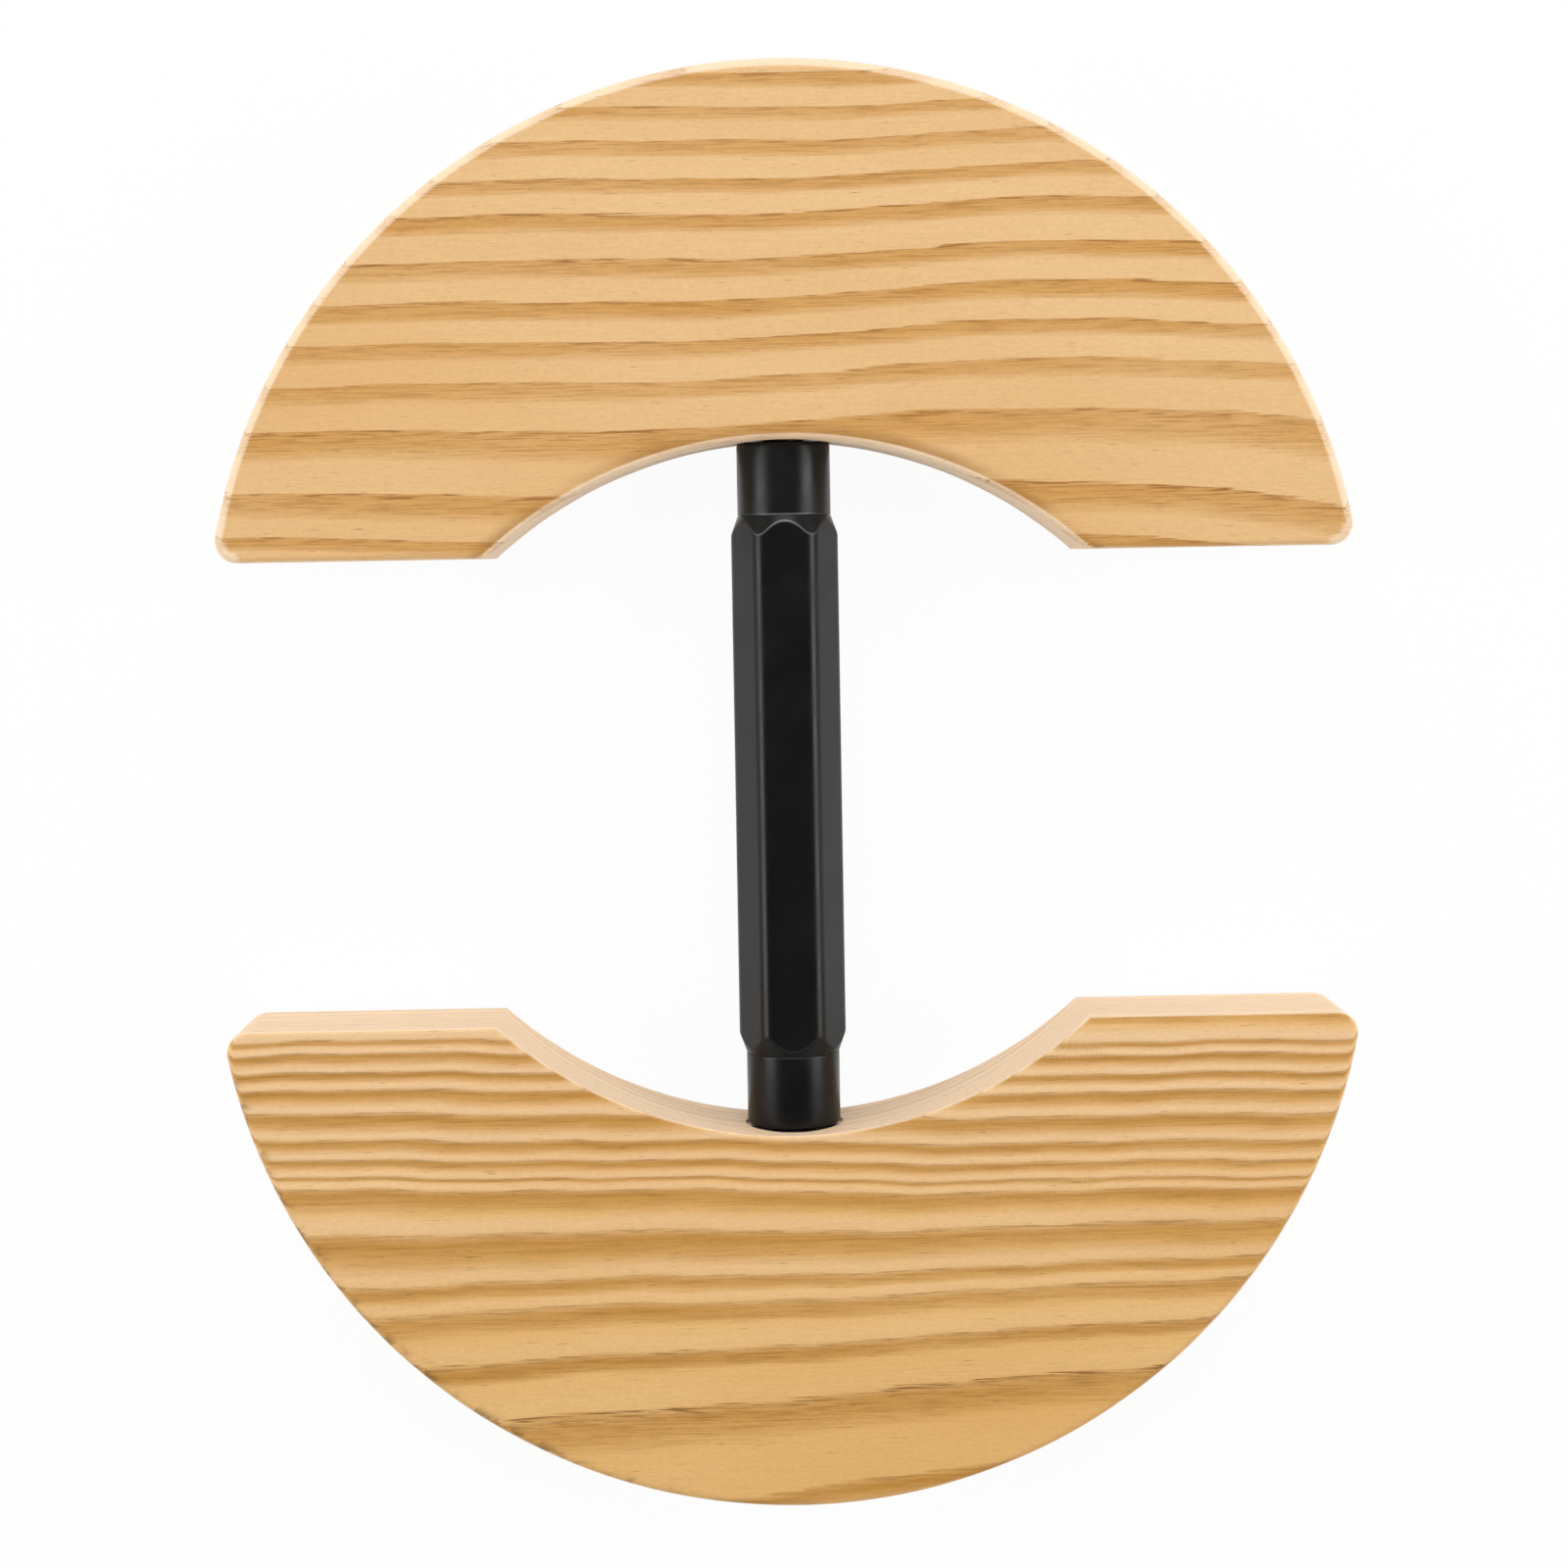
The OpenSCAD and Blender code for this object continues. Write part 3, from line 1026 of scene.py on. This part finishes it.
@dataclass
class Hardware:
    """The small CAD pieces whose solids are already right: the inserts and the snap rings."""

    finishes: dict[str, TurnedMetal] = field(
        default_factory=lambda: {"insert": ZINC_PLATED, "snap_ring": PHOSPHATED}
    )

    def dress(self) -> None:
        """Gives each piece its metal finish."""
        for kind, finish in self.finishes.items():
            for node in (f"{side.word}_{kind}" for side in Side):
                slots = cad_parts[node].material_slots
                material = finish.make(node)
                for slot in slots:
                    slot.material = material
                LOG.info("finished %s as %s in %d slots", node, material.name, len(slots))


@dataclass(frozen=True)
class Lamp:
    """A soft square lamp that faces the stretcher: its place, the length of its side and its power."""

    name: str
    place: tuple[float, float, float]
    size: float
    watts: float


@dataclass
class Studio:
    """A white table, a pale surround, soft lamps and the camera."""

    table_size: float = 6000.0
    table_colour: str = "#F4F4F4"
    surround_colour: str = "#FFFFFF"
    ceiling_colour: str = "#5A5A5A"
    # How high the surround stays white, and where it has reached the ceiling's colour
    surround_ramp: tuple[float, float] = (0.3, 0.75)
    table_glow: float = 0.95
    lamps: Sequence[Lamp] = (
        Lamp("key_from_above", (0, 620, 640), 600, 3.6),
        Lamp("fill_left", (-800, 0, 500), 420, 3.0),
        Lamp("fill_right", (800, 0, 500), 420, 3.2),
    )
    # Camera: distance to its target, turns in degrees, and the target on the board's middle plane
    distance: float = 400.0
    tilt: float = 2.3
    swing: float = 0.7
    roll: float = -0.98
    target: tuple[float, float] = (-0.35, 15.8)
    # Focal length and the row that the optical axis meets, both in pixels of the square photograph
    image_px: float = 1600.0
    focal_px: float = 3037.0
    axis_row_px: float = 680.0
    sensor: float = 36.0

    def build_camera(self) -> None:
        """Builds the camera at the photograph's viewing angle."""
        tilt, swing, roll = (radians(angle) for angle in (self.tilt, self.swing, self.roll))
        back = Vector((-sin(swing) * cos(tilt), sin(tilt), cos(swing) * cos(tilt)))
        right = (-back).cross(Vector((0, 1, 0))).normalized()
        up = right.cross(-back)
        across = cos(roll) * right + sin(roll) * up
        above = -sin(roll) * right + cos(roll) * up
        place = (Vector((*self.target, SCREW_Z)) + self.distance * back) * MM
        data = bpy.data.cameras.new("camera")
        data.sensor_width = self.sensor
        data.lens = self.focal_px / self.image_px * self.sensor
        data.shift_y = (self.axis_row_px - self.image_px / 2) / self.image_px
        camera = bpy.data.objects.new("camera", data)
        turn = Matrix((across, above, back)).transposed().to_4x4()
        camera.matrix_world = Matrix.Translation(place) @ turn
        bpy.context.scene.collection.objects.link(camera)
        bpy.context.scene.camera = camera

    def build_table(self) -> None:
        """Builds the white table, which shows white to the camera and still takes the shadow."""
        points = np.array([[-1, -1, 0], [1, -1, 0], [1, 1, 0], [-1, 1, 0]]) * self.table_size / 2
        table = new_piece("table", points, [[0, 1, 2, 3]])
        material, tree = new_tree("white_laminate_table")
        path = add(tree, "ShaderNodeLightPath").outputs
        seen = path["Is Camera Ray"]
        for ray in ("Is Glossy Ray", "Is Transmission Ray"):
            seen = add(tree, "ShaderNodeMath", {0: seen, 1: path[ray]}, operation="MAXIMUM")
        share = add(tree, "ShaderNodeMath", {0: seen, 1: self.table_glow}, operation="MULTIPLY")
        matt = add(tree, "ShaderNodeBsdfDiffuse", {"Color": linear(self.table_colour)})
        white = add(tree, "ShaderNodeEmission", {"Color": linear(self.surround_colour), "Strength": 1.0})
        mixed = add(tree, "ShaderNodeMixShader", {0: share, 1: matt, 2: white})
        add(tree, "ShaderNodeOutputMaterial", {"Surface": mixed})
        table.data.materials.append(material)

    def build_world(self) -> None:
        """Builds the surround: white at the horizon, darker overhead."""
        world = bpy.data.worlds.new("surround")
        world.use_nodes = True
        tree = world.node_tree
        tree.nodes.clear()
        place = add(tree, "ShaderNodeTexCoord").outputs["Generated"]
        height = add(tree, "ShaderNodeSeparateXYZ", {"Vector": place}).outputs["Z"]
        colours = (linear(self.surround_colour), linear(self.ceiling_colour))
        tone = add(tree, "ShaderNodeValToRGB", {"Fac": height}, stops=zip(self.surround_ramp, colours))
        light = add(tree, "ShaderNodeBackground", {"Color": tone, "Strength": 1.0})
        add(tree, "ShaderNodeOutputWorld", {"Surface": light})
        bpy.context.scene.world = world

    def build_lamps(self) -> None:
        """Builds the lamps, each turned to the stretcher."""
        for lamp in self.lamps:
            data = bpy.data.lights.new(lamp.name, "AREA")
            data.size = lamp.size * MM
            data.energy = lamp.watts
            light = bpy.data.objects.new(lamp.name, data)
            light.location = Vector(lamp.place) * MM
            light.rotation_mode = "QUATERNION"
            light.rotation_quaternion = (-Vector(lamp.place)).to_track_quat("-Z", "Y")
            bpy.context.scene.collection.objects.link(light)

    def build(self) -> None:
        """Builds the whole studio."""
        self.build_camera()
        self.build_table()
        self.build_world()
        self.build_lamps()
        bpy.context.scene.view_settings.view_transform = "Standard"


UPPER_GRAIN = Grain(
    rings=(
        Ring(4.3, 0.5), Ring(4.2, 0.45), Ring(4.8, 0.45, 0.9), Ring(4.4, 0.5), Ring(5.9, 0.45, 1.1, 1.2),
        Ring(5.2, 0.45, 1.1, 1.2), Ring(5.2, 0.55), Ring(5.1, 0.5), Ring(6.3, 0.45, 0.85, 0.8),
        Ring(9.1, 0.42, 0.95, 1.2), Ring(6.5, 0.6, 1.1, 1.2),
    ),
    first_edge=-94.3,
    lean=0.026, lean_from=-52.0, lean_growth=-0.002, slope=0.8, droop=0.0014,
    waves=((0.8, 150.0, 210.0, 0.1), (0.22, 61.0, 90.0, 0.55), (0.06, 23.0, 31.0, 0.2)),
    relief_near=0.025, relief_far=0.025,
)

LOWER_GRAIN = Grain(
    rings=(
        Ring(1.5, 0.8, 0.5), Ring(2.6, 0.8), Ring(2.3, 0.8), Ring(3.2, 0.75), Ring(3.6, 0.8),
        Ring(2.6, 0.85, 0.8), Ring(2.4, 0.75, 0.8), Ring(1.3, 0.7, 0.6), Ring(5.3, 0.6, 0.9),
        Ring(5.8, 0.7, 0.9), Ring(3.1, 0.85, 0.9), Ring(6.2, 0.65, 0.9), Ring(7.0, 0.45, 0.95, 1.5),
        Ring(12.6, 0.34, 1.0, 2.2), Ring(5.0, 0.6),
    ),
    first_edge=33.5,
    lean=-0.016, lean_from=53.0, lean_growth=0.0031, slope=1.7,
    waves=(
        (0.3, 140.0, 190.0, 0.3), (0.2, 57.0, 80.0, 0.8), (0.1, 21.0, 36.0, 0.45), (0.05, 11.0, 17.0, 0.2)
    ),
    relief_near=0.22, relief_far=0.06,
)

# One board is paler, with rings that start at a crisp line; the other is golden, brushed into soft ridges
PALE_PINE = BrushedPine(
    early="#E9C08A", early_warm="#E3B57B", late="#D39D55", streak="#BC8237", line="#8A5115",
    latewood=((0.0, 0.0), (1.0, 0.0), (0.04, 0.85), (0.16, 1.0), (0.6, 0.9), (0.85, 0.45)),
    line_share=0.7,
)
GOLDEN_PINE = BrushedPine(
    early="#E7B876", early_warm="#E0AC64", late="#C38B3D", streak="#AB752B", line="#70410B",
    latewood=((0.0, 0.0), (1.0, 0.0), (0.15, 0.55), (0.36, 1.0), (0.7, 0.7)),
    line_share=0.4,
)


def report(piece: Piece) -> None:
    """Reports a piece that is built and dressed."""
    LOG.info("built %s with %d faces", piece.name, len(piece.data.polygons))


def main() -> None:
    """Builds the studio and every piece of the stretcher."""
    logging.basicConfig(level=logging.INFO, format="%(message)s")
    Studio().build()
    upper = Half(
        Side.UPPER, UPPER_GRAIN, PALE_PINE,
        # Only the upper half has painted shade along its saddle
        burnish=0.75, chipped=0.0,
        edge_depth=1.9, edge_width=1.4, inner_share=0.6,
        borders=(1.25, 0.75, 0.12),
    )
    lower = Half(
        Side.LOWER, LOWER_GRAIN, GOLDEN_PINE,
        # The lower half's ridges by the saddle take cream that is partly painted highlight
        burnish=0.0, chipped=1.0, crest_sanding_and_highlight=0.5,
        edge_depth=1.5, edge_width=1.1, inner_share=0.45,
        borders=(0.12, 0.12, 0.12),
    )
    for half in (upper, lower):
        piece = half.build()
        half.dress(piece)
        report(piece)
    turnbuckle = Turnbuckle()
    barrel = turnbuckle.build("hex_barrel_turned", turnbuckle.barrel_rows())
    turnbuckle.dress(barrel, "hex_barrel", "barrel", "black_barrel")
    report(barrel)
    for side in Side:
        collar = turnbuckle.build(f"{side.word}_collar_turned", turnbuckle.collar_rows(side))
        turnbuckle.dress(collar, f"{side.word}_collar", "collars", "black_collar")
        report(collar)
    for stud in (Stud(Side.UPPER, Hand.LEFT), Stud(Side.LOWER, Hand.RIGHT)):
        piece = stud.build()
        stud.dress(piece)
        report(piece)
    Hardware().dress()


if __name__ == "__main__":
    main()
